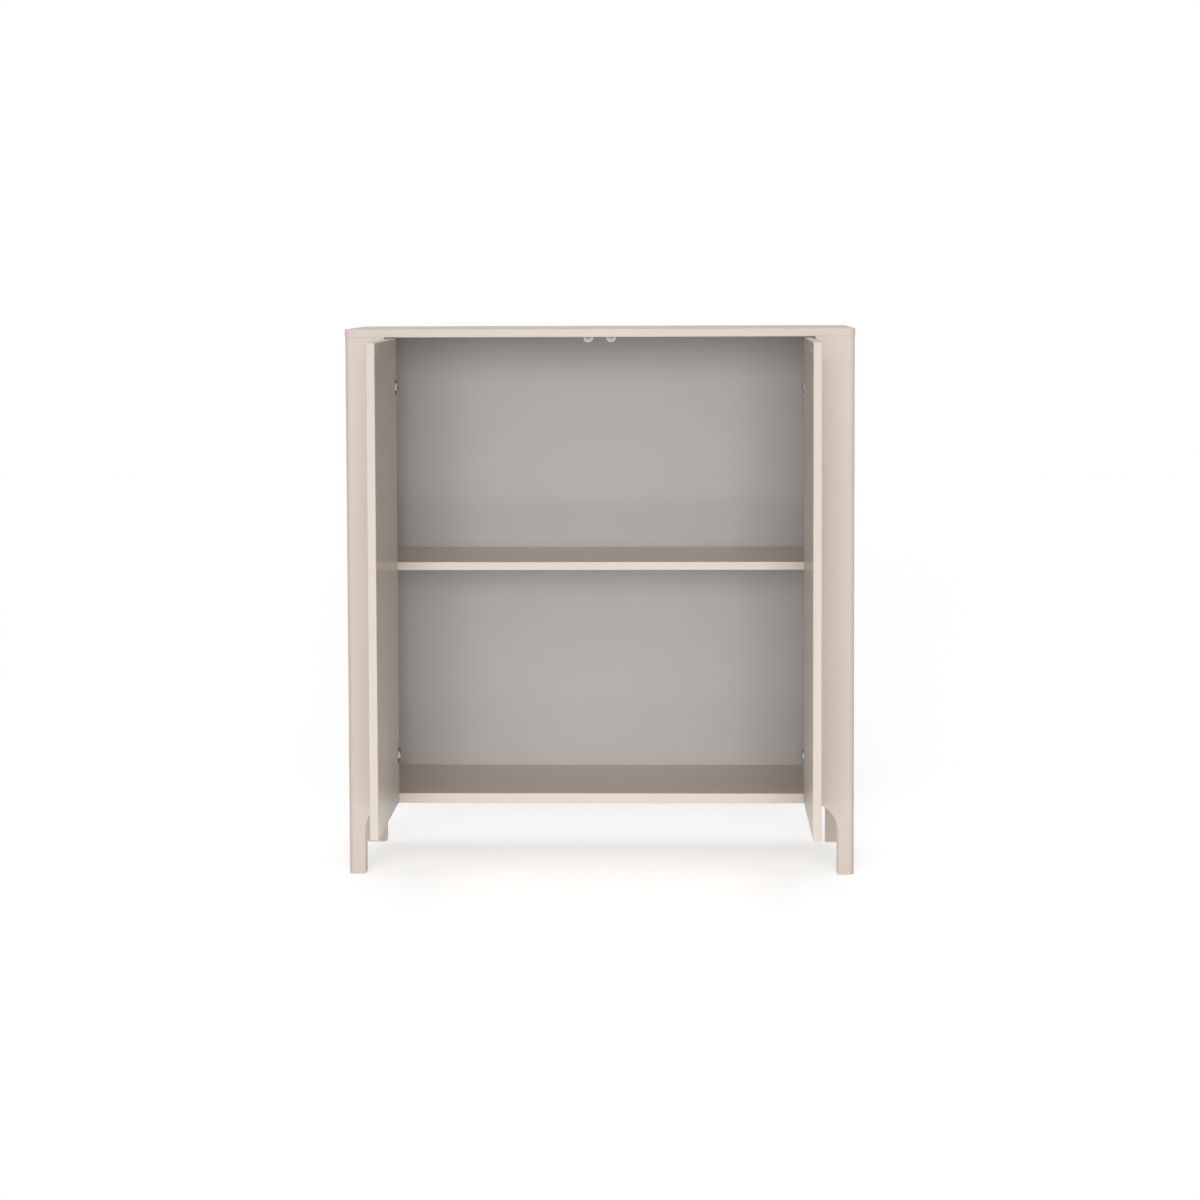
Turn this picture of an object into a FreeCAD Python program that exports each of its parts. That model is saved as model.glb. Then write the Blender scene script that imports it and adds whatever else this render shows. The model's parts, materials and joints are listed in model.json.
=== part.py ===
import FreeCAD, Part
import math
import os

# A two-door cabinet on four legs, drawn with both doors open at a right angle.
# Millimetres. X runs to the viewer's right, Y from the front to the back, Z up.
# Drawing starts from the plane of the post fronts (y = 0). The finished pieces are then
# moved along Y so that the origin lies on the floor under the middle of the whole outline.
# Left-hand pieces are drawn, and right-hand ones are their mirror images.

# Body
cabinet_height = 1200.0
body_width = 1110.0
body_depth = 425.0
edge_rounding = 1.5

# Top
top_thickness = 18.0
top_overhang = 1.0

# Posts and legs
post_width = 86.0
post_depth = 42.0
post_rounding = 12.0
front_leg_width = 36.0
rear_post_width = 44.0
arch_radius = 66.0
arch_crown_height = 162.0

# Foot glides
glide_height = 2.0
glide_radius = 10.0
glide_nail_radius = 1.2
glide_nail_length = 14.0

# Side panels, tongued into the posts
side_thickness = 18.0
side_recess = 2.0
tongue_thickness = 6.0
tongue_length = 6.0
glue_gap = 0.1

# Bottom panel
bottom_thickness = 22.0
bottom_height = 154.5
bottom_setback = 25.0

# Shelf and its pins
shelf_thickness = 18.0
shelf_height = 669.0
shelf_clearance = 1.0
shelf_pin_radius = 2.5
shelf_pin_reach = 9.0
shelf_pin_bury = 9.0
shelf_pin_inset = 80.0

# Back panel
back_thickness = 5.0
back_inset = 5.0
back_groove_depth = 8.0
back_top_groove_depth = 6.0
back_screw_length = 20.0
back_screw_count = 5
back_screw_end_margin = 90.0

# Doors
door_thickness = 18.0
door_top_gap = 2.0
door_bottom_height = 158.0
door_hinge_gap = 3.5
door_meeting_gap = 3.0
door_edge_rounding = 2.0

# Hinge pin, measured on the closed door from the post's inner edge and from the door's front
pivot_from_post = 15.8
pivot_from_front = 10.2
hinge_from_door_end = 106.0
pin_radius = 1.6
pin_seat_gap = 0.02
pin_running_gap = 0.05

# Hinge cup in the door
cup_radius = 17.5
cup_depth = 12.3
cup_wall = 1.0
cup_from_door_edge = 22.5
cup_fit_gap = 0.05
flange_radius = 19.0
flange_thickness = 1.2
flange_ear_radius = 8.0
flange_screw_span = 48.0
flange_screw_offset = 6.0
flange_screw_to_ear_end = 6.0
pin_boss_length = 3.5
pin_boss_wall = 1.3

# Hinge arm and its plate on the post
arm_width = 16.0
arm_thickness = 2.4
arm_side_gap = 0.3
arm_rise = 11.9
arm_lean = 2.2
arm_behind_door = 2.5
arm_foot_margin = 0.5
knuckle_radius = 2.9
plate_thickness = 2.0
plate_depth = 16.0
plate_height = 60.0
plate_rounding = 3.0
plate_setback = 24.0
plate_screw_span = 44.0

# Screws
screw_radius = 1.75
screw_length = 14.0
screw_head_radius = 3.6
screw_head_height = 1.6
screw_gap = 0.05

# Push latches under the top
latch_spacing = 50.0
latch_width = 20.6
latch_base = 1.2
latch_length = 40.0
latch_setback = 24.5
latch_wall = 2.1
latch_pocket_depth = 8.0
latch_bulkhead = 3.0
latch_chamber_radius = 4.0
latch_chamber_length = 22.0
latch_tab_length = 14.0
latch_tab_screw_span = 11.0
plunger_drop = 5.5
plunger_stroke = 4.0
plunger_radius = 2.5
plunger_head_radius = 3.3
plunger_tip_clearance = 0.5
plunger_collar_radius = 3.7
plunger_collar_length = 2.0
magnet_radius = 2.6
magnet_length = 3.0
magnet_proud = 1.0
spring_wire_radius = 0.4
spring_turns = 7
spring_seat_gap = 0.05

# Strike plates on the doors
strike_width = 12.0
strike_height = 22.0
strike_thickness = 1.0
strike_from_door_top = 0.8
strike_screw_drop = 15.0

# Bolts from the posts into the bottom panel
bolt_radius = 3.0
bolt_from_post_face = 32.0
bolt_head_radius = 6.5
bolt_head_height = 4.0
bolt_counterbore_radius = 7.5
bolt_counterbore_depth = 7.0
bolt_gap = 0.25
bolt_socket_radius = 2.0
insert_radius = 4.5
insert_length = 14.0
insert_gap = 0.05
cap_radius = 10.0
cap_proud = 1.0
cap_plug_length = 2.5

# Dowels and cams that hold the top
dowel_radius = 4.0
dowel_length = 30.0
dowel_in_top = 12.0
dowel_gap = 0.05
cam_radius = 7.5
cam_depth = 12.5
cam_drop = 24.0
cam_from_side_end = 60.0
cam_bolt_radius = 3.0
cam_bolt_in_top = 11.0
cam_bolt_head_radius = 3.5
cam_bolt_head_length = 3.0
cam_gap = 0.05

# How close two measures are to count as one place
same_place = 0.01

# Worked out from the sizes above
X_AXIS = FreeCAD.Vector(1, 0, 0)
Y_AXIS = FreeCAD.Vector(0, 1, 0)
Z_AXIS = FreeCAD.Vector(0, 0, 1)
ORIGIN = FreeCAD.Vector(0, 0, 0)

outer_x = body_width / 2
opening_x = outer_x - post_width
rear_inner_x = outer_x - rear_post_width
side_outer_x = outer_x - side_recess
side_inner_x = side_outer_x - side_thickness
side_middle_x = (side_outer_x + side_inner_x) / 2
rear_post_y = body_depth - post_depth
back_y = body_depth - back_inset - back_thickness
top_underside = cabinet_height - top_thickness
bottom_top = bottom_height + bottom_thickness
bottom_middle = bottom_height + bottom_thickness / 2

door_width = opening_x - door_hinge_gap - door_meeting_gap / 2
door_top_height = top_underside - door_top_gap
door_outer_u = pivot_from_post - pivot_from_front
door_inner_u = door_outer_u + door_thickness
door_hinge_y = pivot_from_front + pivot_from_post - door_hinge_gap
door_free_y = door_hinge_y - door_width
hinge_heights = {
    "lower": door_bottom_height + hinge_from_door_end,
    "upper": door_top_height - hinge_from_door_end,
}
origin_y = (door_free_y + body_depth + top_overhang) / 2

cup_y = door_hinge_y - cup_from_door_edge
cup_screw_y = cup_y - flange_screw_offset
arm_back_y = door_hinge_y + arm_behind_door + arm_thickness / 2
arm_foot_end_y = plate_setback + plate_depth - arm_foot_margin
arm_screw_y = (arm_back_y + arm_thickness / 2 + arm_foot_end_y) / 2
plate_middle_y = plate_setback + plate_depth / 2

latch_x = latch_spacing / 2
latch_radius = latch_width / 2
plunger_z = top_underside - plunger_drop
bulkhead_y = latch_setback + latch_pocket_depth
chamber_y = bulkhead_y + latch_bulkhead
chamber_end_y = chamber_y + latch_chamber_length
latch_end_y = latch_setback + latch_length
plunger_tip_y = door_thickness + strike_thickness + plunger_tip_clearance
plunger_head_y = plunger_tip_y + magnet_proud
plunger_shoulder_y = bulkhead_y - plunger_stroke - plunger_tip_clearance
collar_y = chamber_y + spring_seat_gap
collar_end_y = collar_y + plunger_collar_length
strike_y = door_free_y + latch_x - door_meeting_gap / 2

front_bolt_y = bolt_from_post_face
rear_bolt_y = body_depth - bolt_from_post_face
front_leg_x = outer_x - front_leg_width / 2
rear_leg_x = outer_x - rear_post_width / 2
post_middle_x = outer_x - post_width / 2
front_middle_y = post_depth / 2
rear_middle_y = body_depth - post_depth / 2
cam_ys = (post_depth + cam_from_side_end, rear_post_y - cam_from_side_end)
shelf_pin_ys = (shelf_pin_inset, body_depth - shelf_pin_inset)
shelf_front_y = post_depth + shelf_clearance
shelf_back_y = back_y - shelf_clearance


def point(x, y, z):
    return FreeCAD.Vector(x, y, z)


def hinge_x(u):
    """X of a left-hand piece that lies u inwards from the post's inner edge."""
    return u - opening_x


def box(x0, x1, y0, y1, z0, z1):
    return Part.makeBox(x1 - x0, y1 - y0, z1 - z0, point(x0, y0, z0))


def rod(radius, start, end):
    return Part.makeCylinder(radius, (end - start).Length, start, end - start)


def eased(shape, radius, wanted):
    """Round the straight or curved edges that wanted picks by their middle points."""
    edges = []
    for edge in shape.Edges:
        middle = edge.valueAt((edge.FirstParameter + edge.LastParameter) / 2)
        if wanted(edge, middle):
            edges.append(edge)
    return shape.makeFillet(radius, edges)


def near(a, b):
    return abs(a - b) < same_place


def along(edge, axis):
    """True for a straight edge that runs along the axis."""
    if not isinstance(edge.Curve, Part.Line):
        return False
    return abs(edge.Curve.Direction.dot(axis)) > math.cos(math.radians(1))


def mirrored(shape):
    return shape.mirror(ORIGIN, X_AXIS)


def both(shape):
    return [shape, mirrored(shape)]


def stood(shape, seat, direction):
    """Place a piece drawn up the Z axis so that it stands on seat and points along direction."""
    shape.Placement = FreeCAD.Placement(seat, FreeCAD.Rotation(Z_AXIS, direction))
    return shape


def screw(seat, outwards, length):
    """A cross-head wood screw whose head stands on seat."""
    tip_length = 2 * screw_radius
    shank_end = tip_length - length
    body = rod(screw_radius, point(0, 0, shank_end), ORIGIN)
    tip = Part.makeCone(0, screw_radius, tip_length, point(0, 0, -length))
    head = rod(screw_head_radius, ORIGIN, point(0, 0, screw_head_height))
    head = eased(head, screw_head_height / 2, lambda edge, middle: near(middle.z, screw_head_height)
                 and not along(edge, Z_AXIS))
    whole = head.fuse([body, tip]).removeSplitter()
    arm = screw_head_radius / 2
    half = screw_head_radius / 8
    floor = screw_head_height / 2
    cross = box(-arm, arm, -half, half, floor, screw_head_height)
    cross = cross.fuse(box(-half, half, -arm, arm, floor, screw_head_height))
    return stood(whole.cut(cross), seat, outwards)


def screw_hole(seat, outwards, length):
    return rod(screw_radius + screw_gap, seat, seat - outwards * length)


# Posts

def front_post_outline():
    """The stile, its arch and the leg, seen from the front, on the left of the cabinet."""
    leg_inner = -outer_x + front_leg_width
    arch_x = leg_inner + arch_radius
    arch_z = arch_crown_height - arch_radius
    inner = -opening_x
    inner_z = arch_z + math.sqrt(arch_radius ** 2 - (arch_x - inner) ** 2)
    middle_angle = (math.pi + math.atan2(inner_z - arch_z, inner - arch_x)) / 2
    arch_middle = point(arch_x + arch_radius * math.cos(middle_angle), 0,
                        arch_z + arch_radius * math.sin(middle_angle))
    foot_outer = point(-outer_x, 0, glide_height)
    top_outer = point(-outer_x, 0, top_underside)
    top_inner = point(inner, 0, top_underside)
    arch_end = point(inner, 0, inner_z)
    arch_start = point(leg_inner, 0, arch_z)
    foot_inner = point(leg_inner, 0, glide_height)
    edges = [
        Part.makeLine(foot_outer, top_outer),
        Part.makeLine(top_outer, top_inner),
        Part.makeLine(top_inner, arch_end),
        Part.Arc(arch_end, arch_middle, arch_start).toShape(),
        Part.makeLine(arch_start, foot_inner),
        Part.makeLine(foot_inner, foot_outer),
    ]
    return Part.Face(Part.Wire(edges))


def side_groove(y0, y1):
    """The groove that takes a side panel's tongue, from the bottom panel up."""
    half = tongue_thickness / 2 + glue_gap
    middle = -side_middle_x
    return box(middle - half, middle + half, y0, y1, bottom_height, top_underside)


def bolt_cut(y, inner_x):
    start = point(-outer_x, y, bottom_middle)
    hole = rod(bolt_radius + bolt_gap, start, point(-inner_x, y, bottom_middle))
    bore = rod(bolt_counterbore_radius, start, start + X_AXIS * bolt_counterbore_depth)
    return hole.fuse(bore)


def dowel_place(x, y):
    return point(-x, y, top_underside + dowel_in_top - dowel_length)


def dowel_cut(x, y):
    low = dowel_place(x, y)
    return rod(dowel_radius + dowel_gap, low, low + Z_AXIS * dowel_length)


def glide_cut(x, y):
    low = point(-x, y, glide_height)
    return rod(glide_nail_radius + screw_gap, low, low + Z_AXIS * glide_nail_length)


def front_post():
    solid = front_post_outline().extrude(Y_AXIS * post_depth)
    solid = eased(solid, post_rounding, lambda edge, middle: along(edge, Z_AXIS)
                  and near(middle.x, -outer_x) and near(middle.y, 0))
    solid = eased(solid, edge_rounding, lambda edge, middle: near(middle.y, 0)
                  and middle.x > -outer_x + post_rounding + edge_rounding and not along(edge, X_AXIS))
    cuts = [
        side_groove(post_depth - tongue_length - glue_gap, post_depth),
        bolt_cut(front_bolt_y, opening_x),
        dowel_cut(post_middle_x, front_middle_y),
        glide_cut(front_leg_x, front_middle_y),
    ]
    for height in hinge_heights.values():
        for seat in plate_screw_seats(height):
            cuts.append(screw_hole(seat, X_AXIS, screw_length))
        cuts.append(screw_hole(arm_screw_seat(height), X_AXIS, screw_length))
    return solid.cut(cuts)


def rear_post():
    solid = box(-outer_x, -rear_inner_x, rear_post_y, body_depth, glide_height, top_underside)
    solid = eased(solid, post_rounding, lambda edge, middle: along(edge, Z_AXIS)
                  and near(middle.x, -outer_x) and near(middle.y, body_depth))
    solid = eased(solid, edge_rounding, lambda edge, middle: along(edge, Z_AXIS)
                  and near(middle.x, -rear_inner_x))
    back_groove = box(-rear_inner_x - back_groove_depth, -rear_inner_x,
                      back_y - glue_gap, back_y + back_thickness + glue_gap,
                      bottom_height - glue_gap, top_underside)
    return solid.cut([
        side_groove(rear_post_y, rear_post_y + tongue_length + glue_gap),
        back_groove,
        bolt_cut(rear_bolt_y, rear_inner_x),
        dowel_cut(rear_leg_x, rear_middle_y),
        glide_cut(rear_leg_x, rear_middle_y),
    ])


def foot_glide(x, y):
    """A round glide with its nail, under one leg."""
    disc = rod(glide_radius, point(-x, y, 0), point(-x, y, glide_height))
    disc = eased(disc, glide_height / 2, lambda edge, middle: near(middle.z, 0)
                 and not along(edge, Z_AXIS))
    nail = rod(glide_nail_radius, point(-x, y, glide_height / 2),
               point(-x, y, glide_height + glide_nail_length - screw_gap))
    return disc.fuse(nail)


# Panels

def top_panel():
    x = outer_x + top_overhang
    solid = box(-x, x, -top_overhang, body_depth + top_overhang, top_underside, cabinet_height)
    solid = eased(solid, post_rounding + top_overhang, lambda edge, middle: along(edge, Z_AXIS))
    solid = eased(solid, edge_rounding, lambda edge, middle: near(middle.z, cabinet_height)
                  or near(middle.z, top_underside))
    groove_x = rear_inner_x + back_groove_depth
    cuts = [box(-groove_x, groove_x, back_y - glue_gap, back_y + back_thickness + glue_gap,
                top_underside, top_underside + back_top_groove_depth)]
    for x, y in ((post_middle_x, front_middle_y), (rear_leg_x, rear_middle_y)):
        cuts += both(dowel_cut(x, y))
    for y in cam_ys:
        cuts += both(rod(cam_bolt_radius + cam_gap, cam_bolt_seat(y),
                         cam_bolt_seat(y) + Z_AXIS * (cam_bolt_in_top + cam_gap)))
    for seat in latch_screw_seats():
        cuts += both(screw_hole(seat, -Z_AXIS, screw_length))
    return solid.cut(cuts)


def side_panel():
    solid = box(-side_outer_x, -side_inner_x, post_depth, rear_post_y, bottom_height, top_underside)
    half = tongue_thickness / 2
    tongue = box(-side_middle_x - half, -side_middle_x + half, post_depth - tongue_length,
                 rear_post_y + tongue_length, bottom_height, top_underside)
    solid = solid.fuse(tongue).removeSplitter()
    cuts = []
    for y in cam_ys:
        face = point(-side_inner_x, y, top_underside - cam_drop)
        cuts.append(rod(cam_radius + cam_gap, face, face - X_AXIS * cam_depth))
        low = point(-side_middle_x, y, top_underside - cam_drop)
        cuts.append(rod(cam_bolt_head_radius + cam_gap, low, cam_bolt_seat(y)))
    for y in shelf_pin_ys:
        face = point(-side_inner_x, y, shelf_pin_z())
        cuts.append(rod(shelf_pin_radius + screw_gap, face, face - X_AXIS * shelf_pin_bury))
    return solid.cut(cuts)


def notched_board(end_x, front_y, back_edge_y, low_z, high_z, gap):
    """A board between the side panels, notched round the posts where it meets them."""
    solid = box(-end_x, end_x, front_y, back_edge_y, low_z, high_z)
    notches = [box(-end_x, -rear_inner_x + gap, rear_post_y - gap, back_edge_y, low_z, high_z)]
    if front_y < post_depth:
        notches.append(box(-end_x, -opening_x + gap, front_y, post_depth + gap, low_z, high_z))
    for notch in notches:
        solid = solid.cut(both(notch))
    return eased(solid, edge_rounding, lambda edge, middle: along(edge, X_AXIS)
                 and near(middle.y, front_y))


def bottom_panel():
    solid = notched_board(side_inner_x, bottom_setback, back_y, bottom_height, bottom_top, 0)
    cuts = []
    for seat in insert_seats():
        cuts += both(rod(insert_radius + insert_gap, seat, seat + X_AXIS * insert_length))
        cuts += both(rod(bolt_radius + bolt_gap, seat, seat + X_AXIS * (insert_length + bolt_radius)))
    for seat in back_screw_seats():
        cuts.append(screw_hole(seat, Y_AXIS, back_screw_length))
    return solid.cut(cuts)


def shelf():
    return notched_board(side_inner_x - shelf_clearance, shelf_front_y, shelf_back_y,
                         shelf_height, shelf_height + shelf_thickness, shelf_clearance)


def back_panel():
    x = rear_inner_x + back_groove_depth - glue_gap
    solid = box(-x, x, back_y, back_y + back_thickness, bottom_height,
                top_underside + back_top_groove_depth - glue_gap)
    return solid.cut([screw_hole(seat, Y_AXIS, back_screw_length) for seat in back_screw_seats()])


def shelf_pin_z():
    return shelf_height - shelf_pin_radius - screw_gap


def shelf_pin(y):
    start = point(-side_inner_x - shelf_pin_bury + screw_gap, y, shelf_pin_z())
    pin = rod(shelf_pin_radius, start, point(-side_inner_x + shelf_pin_reach, y, shelf_pin_z()))
    return eased(pin, shelf_pin_radius / 4, lambda edge, middle: not along(edge, X_AXIS))


def back_screw_seats():
    first = -rear_inner_x + back_screw_end_margin
    step = -2 * first / (back_screw_count - 1)
    y = back_y + back_thickness
    return [point(first + step * i, y, bottom_middle) for i in range(back_screw_count)]


# Doors

def door():
    solid = box(hinge_x(door_outer_u), hinge_x(door_inner_u), door_free_y, door_hinge_y,
                door_bottom_height, door_top_height)
    solid = solid.makeFillet(door_edge_rounding, solid.Edges)
    cuts = []
    for height in hinge_heights.values():
        mouth = point(hinge_x(door_inner_u), cup_y, height)
        cuts.append(rod(cup_radius, mouth, mouth - X_AXIS * (cup_depth + cup_fit_gap)))
        for seat in cup_screw_seats(height):
            cuts.append(screw_hole(seat, X_AXIS, screw_length))
    cuts.append(screw_hole(strike_screw_seat(), X_AXIS, screw_length))
    return solid.cut(cuts)


def strike_plate():
    face = hinge_x(door_inner_u)
    high = door_top_height - strike_from_door_top - door_edge_rounding
    plate = box(face, face + strike_thickness, strike_y - strike_width / 2, strike_y + strike_width / 2,
                high - strike_height, high)
    plate = eased(plate, strike_width / 4, lambda edge, middle: along(edge, X_AXIS))
    return plate.cut(screw_hole(strike_screw_seat(), X_AXIS, screw_length))


def strike_screw_seat():
    z = door_top_height - strike_from_door_top - door_edge_rounding - strike_screw_drop
    return point(hinge_x(door_inner_u + strike_thickness), strike_y, z)


# Hinges

def cup_screw_seats(height):
    x = hinge_x(door_inner_u + flange_thickness)
    half = flange_screw_span / 2
    return [point(x, cup_screw_y, height + side * half) for side in (-1, 1)]


def plate_screw_seats(height):
    half = plate_screw_span / 2
    return [point(hinge_x(plate_thickness), plate_middle_y, height + side * half) for side in (-1, 1)]


def arm_screw_seat(height):
    return point(hinge_x(plate_thickness + arm_thickness), arm_screw_y, height)


def pivot(z):
    return point(hinge_x(pivot_from_post), pivot_from_front, z)


def hinge_cup(height):
    """The pressed cup, its screw flange and the two bosses that hold the hinge pin."""
    face = hinge_x(door_inner_u)
    middle = point(face, cup_y, height)
    outside = rod(cup_radius - cup_fit_gap, middle - X_AXIS * cup_depth, middle)
    rim = rod(flange_radius, middle, middle + X_AXIS * flange_thickness)
    ear_z = flange_screw_span / 2 + flange_screw_to_ear_end - flange_ear_radius
    ears = box(face, face + flange_thickness, cup_screw_y - flange_ear_radius,
               cup_screw_y + flange_ear_radius, height - ear_z, height + ear_z)
    ends = [rod(flange_ear_radius, point(face, cup_screw_y, height + side * ear_z),
                point(face + flange_thickness, cup_screw_y, height + side * ear_z)) for side in (-1, 1)]
    inner_radius = cup_radius - cup_fit_gap - cup_wall
    floor = middle - X_AXIS * (cup_depth - cup_wall)
    hollow = rod(inner_radius, floor, middle + X_AXIS * flange_thickness)
    shell = outside.fuse([rim, ears] + ends).cut(hollow)
    bosses = [pin_boss(height, side).common(outside) for side in (-1, 1)]
    whole = shell.fuse(bosses).removeSplitter()
    holes = [rod(pin_radius + pin_seat_gap, pivot(height - pin_reach()), pivot(height + pin_reach()))]
    holes += [screw_hole(seat, X_AXIS, screw_length) for seat in cup_screw_seats(height)]
    return whole.cut(holes)


def pin_reach():
    return arm_width / 2 + arm_side_gap + pin_boss_length


def pin_boss(height, side):
    """One boss, from the cup's floor round the pin, just clear of the arm."""
    radius = pin_radius + pin_boss_wall
    near_z = height + side * (arm_width / 2 + arm_side_gap)
    far_z = height + side * pin_reach()
    post = box(hinge_x(door_inner_u - cup_depth), hinge_x(pivot_from_post),
               pivot_from_front - radius, pivot_from_front + radius,
               min(near_z, far_z), max(near_z, far_z))
    return post.fuse(rod(radius, pivot(near_z), pivot(far_z))).removeSplitter()


def hinge_pin(height):
    return rod(pin_radius, pivot(height - pin_reach()), pivot(height + pin_reach()))


def hinge_arm(height):
    """A bent strip from the pin, out of the cup, round the door's edge and onto the plate."""
    foot_u = plate_thickness + arm_thickness / 2
    bends = [
        (pivot_from_post, pivot_from_front),
        (pivot_from_post + arm_rise, pivot_from_front + arm_lean),
        (pivot_from_post + arm_rise, arm_back_y),
        (foot_u, arm_back_y),
        (foot_u, arm_foot_end_y - arm_thickness / 2),
    ]
    low = height - arm_width / 2
    line = Part.makePolygon([point(hinge_x(u), y, low) for u, y in bends])
    strip = line.makeOffset2D(arm_thickness / 2, fill=False, openResult=False)
    solid = Part.Face(strip).extrude(Z_AXIS * arm_width)
    knuckle = rod(knuckle_radius, pivot(low), pivot(low + arm_width))
    bore = rod(pin_radius + pin_running_gap, pivot(low), pivot(low + arm_width))
    hole = screw_hole(arm_screw_seat(height), X_AXIS, screw_length)
    return solid.fuse(knuckle).removeSplitter().cut([bore, hole])


def hinge_plate(height):
    plate = box(hinge_x(0), hinge_x(plate_thickness), plate_setback, plate_setback + plate_depth,
                height - plate_height / 2, height + plate_height / 2)
    plate = eased(plate, plate_rounding, lambda edge, middle: along(edge, X_AXIS))
    seats = plate_screw_seats(height) + [arm_screw_seat(height)]
    return plate.cut([screw_hole(seat, X_AXIS, screw_length) for seat in seats])


# Push latches

def half_round(radius, y0, y1):
    """The latch's section: flat against the top, round below, from y0 to y1."""
    z = top_underside - latch_base
    drum = rod(radius, point(-latch_x, y0, z), point(-latch_x, y1, z))
    below = box(-latch_x - radius, -latch_x + radius, y0, y1, z - radius, z)
    return drum.common(below)


def latch_screw_seats():
    y = latch_end_y + latch_tab_length / 2
    half = latch_tab_screw_span / 2
    return [point(-latch_x + side * half, y, top_underside - latch_base) for side in (-1, 1)]


def latch_housing():
    base = box(-latch_x - latch_radius, -latch_x + latch_radius, latch_setback,
               latch_end_y + latch_tab_length, top_underside - latch_base, top_underside)
    solid = half_round(latch_radius, latch_setback, latch_end_y).fuse(base).removeSplitter()
    guide = rod(plunger_radius + pin_running_gap, point(-latch_x, bulkhead_y, plunger_z),
                point(-latch_x, chamber_y, plunger_z))
    chamber = rod(latch_chamber_radius, point(-latch_x, chamber_y, plunger_z),
                  point(-latch_x, chamber_end_y, plunger_z))
    cuts = [half_round(latch_radius - latch_wall, latch_setback, bulkhead_y), guide, chamber]
    cuts += [screw_hole(seat, -Z_AXIS, screw_length) for seat in latch_screw_seats()]
    return solid.cut(cuts)


def on_latch_axis(y):
    return point(-latch_x, y, plunger_z)


def latch_plunger():
    head = rod(plunger_head_radius, on_latch_axis(plunger_head_y), on_latch_axis(plunger_shoulder_y))
    shaft = rod(plunger_radius, on_latch_axis(plunger_head_y), on_latch_axis(collar_end_y))
    collar = rod(plunger_collar_radius, on_latch_axis(collar_y), on_latch_axis(collar_end_y))
    socket = rod(magnet_radius + pin_seat_gap, on_latch_axis(plunger_head_y),
                 on_latch_axis(plunger_tip_y + magnet_length))
    return head.fuse([shaft, collar]).removeSplitter().cut(socket)


def latch_magnet():
    return rod(magnet_radius, on_latch_axis(plunger_tip_y), on_latch_axis(plunger_tip_y + magnet_length))


def latch_spring():
    """A coil from the plunger's collar to the end of the chamber, in half turns."""
    margin = spring_wire_radius + spring_seat_gap
    start = collar_end_y + margin
    pitch = (chamber_end_y - margin - start) / spring_turns
    radius = latch_chamber_radius - spring_wire_radius - spring_seat_gap

    def on_coil(turn):
        angle = 2 * math.pi * turn
        spoke = point(radius * math.cos(angle), 0, radius * math.sin(angle))
        return on_latch_axis(start + pitch * turn) + spoke

    halves = [i / 2 for i in range(2 * spring_turns)]
    arcs = [Part.Arc(on_coil(t), on_coil(t + 1 / 4), on_coil(t + 1 / 2)).toShape() for t in halves]
    section = Part.Wire(Part.makeCircle(spring_wire_radius, on_coil(0), Z_AXIS))
    return Part.Wire(arcs).makePipeShell([section], True, False)


# Fixings

def insert_seats():
    """Where each left-hand insert's mouth lies on the end of the bottom panel."""
    front = point(-opening_x, front_bolt_y, bottom_middle)
    rear = point(-rear_inner_x, rear_bolt_y, bottom_middle)
    return [front, rear]


def bottom_insert(seat):
    end = seat + X_AXIS * insert_length
    return rod(insert_radius, seat, end).cut(rod(bolt_radius + insert_gap, seat, end))


def bottom_bolt(seat):
    """A socket-head bolt from the counterbore to the far end of its insert."""
    head_x = -outer_x + bolt_counterbore_depth
    under_head = point(head_x, seat.y, seat.z)
    shank = rod(bolt_radius, under_head, seat + X_AXIS * insert_length)
    top = under_head - X_AXIS * bolt_head_height
    head = rod(bolt_head_radius, top, under_head)
    socket = rod(bolt_socket_radius, top, top + X_AXIS * bolt_head_height / 2)
    return shank.fuse(head).removeSplitter().cut(socket)


def bolt_cap(seat):
    """A round cover cap with a plug that sits in the counterbore."""
    face = point(-outer_x, seat.y, seat.z)
    disc = rod(cap_radius, face, face - X_AXIS * cap_proud)
    disc = eased(disc, cap_proud / 2, lambda edge, middle: near(middle.x, -outer_x - cap_proud)
                 and not along(edge, X_AXIS))
    plug = rod(bolt_counterbore_radius - glue_gap, face, face + X_AXIS * cap_plug_length)
    return disc.fuse(plug)


def top_dowel(x, y):
    low = dowel_place(x, y) + Z_AXIS * dowel_gap
    dowel = rod(dowel_radius, low, low + Z_AXIS * (dowel_length - 2 * dowel_gap))
    return eased(dowel, dowel_radius / 4, lambda edge, middle: not along(edge, Z_AXIS))


def cam_bolt_seat(y):
    return point(-side_middle_x, y, top_underside)


def cam_bolt(y):
    """A bolt screwed into the top, with its head inside the cam disc."""
    seat = cam_bolt_seat(y)
    head_low = seat - Z_AXIS * cam_drop
    head_high = head_low + Z_AXIS * cam_bolt_head_length
    head = rod(cam_bolt_head_radius, head_low, head_high)
    shank = rod(cam_bolt_radius, head_high, seat + Z_AXIS * cam_bolt_in_top)
    return head.fuse(shank).removeSplitter()


def cam_disc(y):
    """A round cam let into the side panel, slotted for the bolt's head."""
    face = point(-side_inner_x, y, top_underside - cam_drop)
    disc = rod(cam_radius, face, face - X_AXIS * (cam_depth - cam_gap))
    half = cam_bolt_head_radius + cam_gap
    slot = box(-side_middle_x - half, -side_middle_x + half, y - half, y + half,
               face.z - cam_gap, face.z + cam_radius)
    turn = box(-side_inner_x - cam_depth / 4, -side_inner_x, y - cam_radius / 2, y + cam_radius / 2,
               face.z - cam_radius / 8, face.z + cam_radius / 8)
    return disc.cut([slot, turn])


# Every piece by name

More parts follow.
